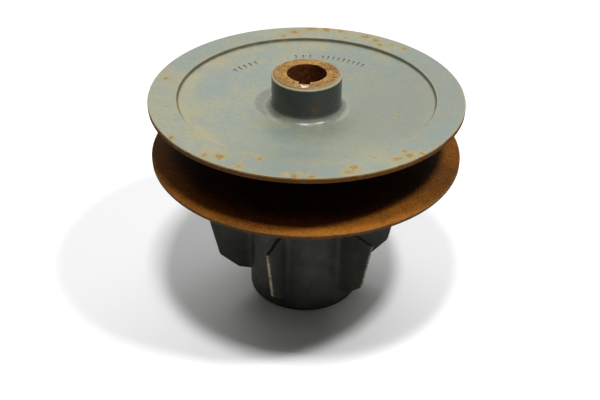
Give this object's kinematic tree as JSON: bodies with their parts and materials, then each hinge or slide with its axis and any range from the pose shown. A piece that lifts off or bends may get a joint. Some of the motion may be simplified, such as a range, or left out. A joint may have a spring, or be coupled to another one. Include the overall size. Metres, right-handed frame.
{
  "type": "variable-speed v-belt pulley",
  "caption": "Spring-loaded variable-speed V-belt pulley: a fixed disc on a keyed sleeve, a sliding disc below it, and a finned spring pot that it stands on.",
  "frame": {"origin": "centre of the spring pot's lower face, on the shaft axis", "axes": "+Z along the shaft axis from the spring pot towards the keyed boss, keyway facing -Y"},
  "size_m": [0.225, 0.225, 0.182],
  "materials": {
    "disc_paint": "weathered grey-green paint",
    "pot_paint": "dull dark grey-green paint",
    "rusted_iron": "evenly rusted, machined groove face",
    "machined_steel": "turned, lightly rusted",
    "plated_steel": "plain bright steel",
    "spring_steel": "dark oiled",
    "bronze": "sintered bronze",
    "rubber": "matte black"
  },
  "bodies": {
    "hub_assembly": {"fixed_disc": "disc_paint", "hub_sleeve": "machined_steel", "stop_ring": "rubber", "spring_pot": "pot_paint", "support_washer": "plated_steel", "retaining_ring": "spring_steel", "compression_spring": "spring_steel", "spring_seat_lower": "plated_steel"},
    "sliding_disc_assembly": {"sliding_disc": "rusted_iron", "spring_seat_upper": "plated_steel", "guide_bush_upper": "bronze", "guide_bush_lower": "bronze", "wiper_ring_upper": "rubber", "wiper_ring_lower": "rubber", "drive_key_right": "plated_steel", "drive_key_left": "plated_steel", "key_screw_right_lower": "spring_steel", "key_screw_right_upper": "spring_steel", "key_screw_left_lower": "spring_steel", "key_screw_left_upper": "spring_steel"}
  },
  "joints": [
    {"name": "disc_slide", "type": "slide", "parent": "hub_assembly", "child": "sliding_disc_assembly", "axis": [0, 0, 1], "range_m": [-0.03, 0], "stiffness_N_per_m": 6500, "springref_m": 0.045, "deforming": ["compression_spring"]}
  ]
}
